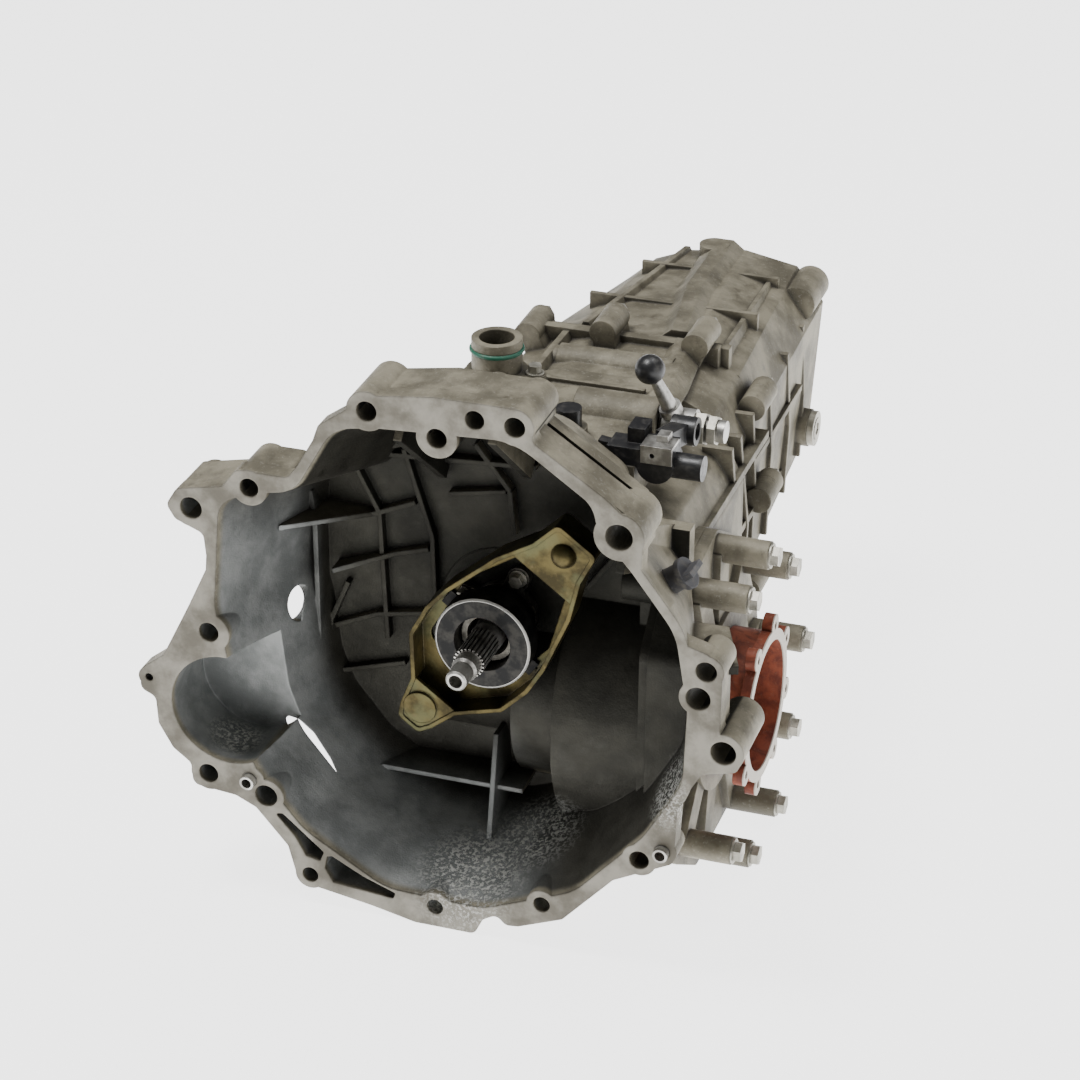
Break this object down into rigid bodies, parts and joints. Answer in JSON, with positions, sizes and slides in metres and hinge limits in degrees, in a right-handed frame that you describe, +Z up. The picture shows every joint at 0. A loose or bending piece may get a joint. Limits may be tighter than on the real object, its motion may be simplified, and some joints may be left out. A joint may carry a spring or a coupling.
{
  "type": "manual transmission",
  "caption": "Front-drive gearbox in a cast housing: bell with release lever, meshing gear pairs, shift forks, differential with output hub, and a shift lever on top.",
  "frame": {"origin": "where the axis of the input shaft crosses the mating face of the bell", "axes": "+Y along the input shaft from the bell mouth to the rear, +X to the differential cover and output hub, +Z up as it stands in the car"},
  "size_m": [0.433, 0.568, 0.408],
  "materials": {
    "cast_aluminium": "sand-cast, weathered, satin on machined faces",
    "steel": "ground and turned steel",
    "gear_steel": "hardened, oiled",
    "lever_zinc": "yellow passivated zinc on pressed steel, worn",
    "bearing_black": "black oxide, greasy",
    "bearing_bright": "ground bearing steel",
    "hub_rust": "rusted neck, machined lip",
    "bolt_steel": "zinc plated, dull",
    "synchro_brass": "plain",
    "fork_alloy": "cast",
    "black_plastic": "moulded, dusty",
    "grey_plastic": "moulded",
    "green_rubber": "smooth",
    "black_rubber": "smooth"
  },
  "bodies": {
    "housing": {"gear_case": "cast_aluminium", "bell_housing": "cast_aluminium", "left_output_hub": "cast_aluminium", "rear_case": "cast_aluminium", "rear_cover": "cast_aluminium", "differential_cover": "cast_aluminium", "output_hub": "hub_rust", "differential_cover_bolts": "bolt_steel", "rear_bolts": "bolt_steel", "small_screws": "bolt_steel", "dowel_sleeves": "steel", "shift_rail_and_idler_shaft": "steel", "shaft_bearings": "bearing_bright", "output_seals": "black_rubber", "pivot_ball_stud": "steel", "guide_sleeve": "steel", "linkage_bracket": "black_plastic", "linkage_clip": "steel", "reversing_switch": "grey_plastic", "neck_tube": "fork_alloy", "neck_seal": "green_rubber", "breather_cap": "black_plastic", "inspection_plug": "grey_plastic", "oil_plug": "bolt_steel"},
    "input_shaft": {"input_shaft": "steel", "input_synchro_hubs": "gear_steel", "input_synchro_rings": "synchro_brass"},
    "output_shaft": {"output_shaft": "gear_steel", "driven_gear_cluster": "gear_steel", "output_synchro_hub": "gear_steel", "output_synchro_rings": "synchro_brass"},
    "first_driven_gear": {"first_driven_gear": "gear_steel"},
    "second_driven_gear": {"second_driven_gear": "gear_steel"},
    "third_drive_gear": {"third_drive_gear": "gear_steel"},
    "fourth_drive_gear": {"fourth_drive_gear": "gear_steel"},
    "fifth_drive_gear": {"fifth_drive_gear": "gear_steel"},
    "reverse_drive_gear": {"reverse_drive_gear": "gear_steel"},
    "reverse_idler_gear": {"reverse_idler_gear": "gear_steel"},
    "differential": {"differential_carrier": "gear_steel", "crown_wheel": "gear_steel", "crown_wheel_bolts": "bolt_steel", "cross_pin": "steel"},
    "left_side_gear": {"left_side_gear": "gear_steel"},
    "right_side_gear": {"right_side_gear": "gear_steel"},
    "upper_spider_gear": {"upper_spider_gear": "gear_steel"},
    "lower_spider_gear": {"lower_spider_gear": "gear_steel"},
    "one_two_fork": {"one_two_fork": "fork_alloy"},
    "three_four_fork": {"three_four_fork": "fork_alloy"},
    "five_reverse_fork": {"five_reverse_fork": "fork_alloy"},
    "one_two_sleeve": {"one_two_sleeve": "gear_steel"},
    "three_four_sleeve": {"three_four_sleeve": "gear_steel"},
    "five_reverse_sleeve": {"five_reverse_sleeve": "gear_steel"},
    "selector": {"selector_shaft": "steel", "shift_lever": "steel", "shift_ball": "black_plastic", "selector_nuts": "bolt_steel"},
    "release_lever": {"release_lever": "lever_zinc", "lever_spring": "steel"},
    "release_bearing_carrier": {"release_bearing_carrier": "bearing_black"},
    "release_bearing_race": {"release_bearing_race": "bearing_black"}
  },
  "joints": [
    {"name": "input_spin", "type": "hinge", "parent": "housing", "child": "input_shaft", "pos_m": [0, 0.4, 0], "axis": [0, 1, 0], "continuous": true},
    {"name": "output_spin", "type": "hinge", "parent": "housing", "child": "output_shaft", "pos_m": [0, 0.4, -0.07], "axis": [0, 1, 0], "continuous": true},
    {"name": "first_gear_spin", "type": "hinge", "parent": "housing", "child": "first_driven_gear", "pos_m": [0, 0.4, -0.07], "axis": [0, 1, 0], "continuous": true},
    {"name": "second_gear_spin", "type": "hinge", "parent": "housing", "child": "second_driven_gear", "pos_m": [0, 0.4, -0.07], "axis": [0, 1, 0], "continuous": true},
    {"name": "third_gear_spin", "type": "hinge", "parent": "housing", "child": "third_drive_gear", "pos_m": [0, 0.4, 0], "axis": [0, 1, 0], "continuous": true},
    {"name": "fourth_gear_spin", "type": "hinge", "parent": "housing", "child": "fourth_drive_gear", "pos_m": [0, 0.4, 0], "axis": [0, 1, 0], "continuous": true},
    {"name": "fifth_gear_spin", "type": "hinge", "parent": "housing", "child": "fifth_drive_gear", "pos_m": [0, 0.4, 0], "axis": [0, 1, 0], "continuous": true},
    {"name": "reverse_gear_spin", "type": "hinge", "parent": "housing", "child": "reverse_drive_gear", "pos_m": [0, 0.4, 0], "axis": [0, 1, 0], "continuous": true},
    {"name": "reverse_idler_spin", "type": "hinge", "parent": "housing", "child": "reverse_idler_gear", "pos_m": [0.04008, 0.478, -0.01414], "axis": [0, 1, 0], "continuous": true},
    {"name": "differential_spin", "type": "hinge", "parent": "housing", "child": "differential", "pos_m": [0, 0.158, -0.07], "axis": [1, 0, 0], "continuous": true},
    {"name": "left_side_spin", "type": "hinge", "parent": "differential", "child": "left_side_gear", "pos_m": [0, 0.158, -0.07], "axis": [1, 0, 0], "continuous": true},
    {"name": "right_side_spin", "type": "hinge", "parent": "differential", "child": "right_side_gear", "pos_m": [0, 0.158, -0.07], "axis": [1, 0, 0], "continuous": true},
    {"name": "upper_spider_spin", "type": "hinge", "parent": "differential", "child": "upper_spider_gear", "pos_m": [0, 0.158, -0.07], "axis": [0, 0, 1], "continuous": true},
    {"name": "lower_spider_spin", "type": "hinge", "parent": "differential", "child": "lower_spider_gear", "pos_m": [0, 0.158, -0.07], "axis": [0, 0, 1], "continuous": true},
    {"name": "one_two_fork_slide", "type": "slide", "parent": "housing", "child": "one_two_fork", "axis": [0, 1, 0], "range_m": [-0.006, 0.006]},
    {"name": "three_four_fork_slide", "type": "slide", "parent": "housing", "child": "three_four_fork", "axis": [0, 1, 0], "range_m": [-0.0062, 0.0062]},
    {"name": "five_reverse_fork_slide", "type": "slide", "parent": "housing", "child": "five_reverse_fork", "axis": [0, 1, 0], "range_m": [-0.006, 0.006]},
    {"name": "one_two_sleeve_slide", "type": "slide", "parent": "output_shaft", "child": "one_two_sleeve", "axis": [0, 1, 0], "range_m": [-0.006, 0.006]},
    {"name": "three_four_sleeve_slide", "type": "slide", "parent": "input_shaft", "child": "three_four_sleeve", "axis": [0, 1, 0], "range_m": [-0.0062, 0.0062]},
    {"name": "five_reverse_sleeve_slide", "type": "slide", "parent": "input_shaft", "child": "five_reverse_sleeve", "axis": [0, 1, 0], "range_m": [-0.006, 0.006]},
    {"name": "shift_lever_turn", "type": "hinge", "parent": "housing", "child": "selector", "pos_m": [0.07, 0.209, 0.112], "axis": [1, 0, 0], "range_deg": [-15, 15]},
    {"name": "release_lever_swing", "type": "hinge", "parent": "housing", "child": "release_lever", "pos_m": [-0.047, 0.072, -0.06], "axis": [0.8008, 0, -0.5989], "range_deg": [0, 8]},
    {"name": "release_bearing_slide", "type": "slide", "parent": "housing", "child": "release_bearing_carrier", "axis": [0, -1, 0], "range_m": [0, 0.0107]},
    {"name": "release_race_spin", "type": "hinge", "parent": "release_bearing_carrier", "child": "release_bearing_race", "pos_m": [0, 0.068, 0], "axis": [0, 1, 0], "continuous": true}
  ],
  "couplings": [
    {"joint": "first_gear_spin", "follows": "input_spin", "ratio": -0.30233},
    {"joint": "second_gear_spin", "follows": "input_spin", "ratio": -0.51351},
    {"joint": "third_gear_spin", "follows": "output_spin", "ratio": -1.3333},
    {"joint": "fourth_gear_spin", "follows": "output_spin", "ratio": -1},
    {"joint": "fifth_gear_spin", "follows": "output_spin", "ratio": -0.75},
    {"joint": "reverse_idler_spin", "follows": "output_spin", "ratio": -1.75},
    {"joint": "reverse_gear_spin", "follows": "output_spin", "ratio": 2.5},
    {"joint": "differential_spin", "follows": "output_spin", "ratio": -0.30303},
    {"joint": "right_side_spin", "follows": "left_side_spin", "ratio": -1},
    {"joint": "upper_spider_spin", "follows": "left_side_spin", "ratio": 1.6},
    {"joint": "lower_spider_spin", "follows": "left_side_spin", "ratio": -1.6},
    {"joint": "one_two_sleeve_slide", "follows": "one_two_fork_slide", "ratio": 1},
    {"joint": "five_reverse_sleeve_slide", "follows": "five_reverse_fork_slide", "ratio": 1},
    {"joint": "three_four_fork_slide", "follows": "shift_lever_turn", "m_per_rad": 0.0229},
    {"joint": "three_four_sleeve_slide", "follows": "shift_lever_turn", "m_per_rad": 0.0229},
    {"joint": "release_bearing_slide", "follows": "release_lever_swing", "m_per_rad": 0.0762}
  ]
}
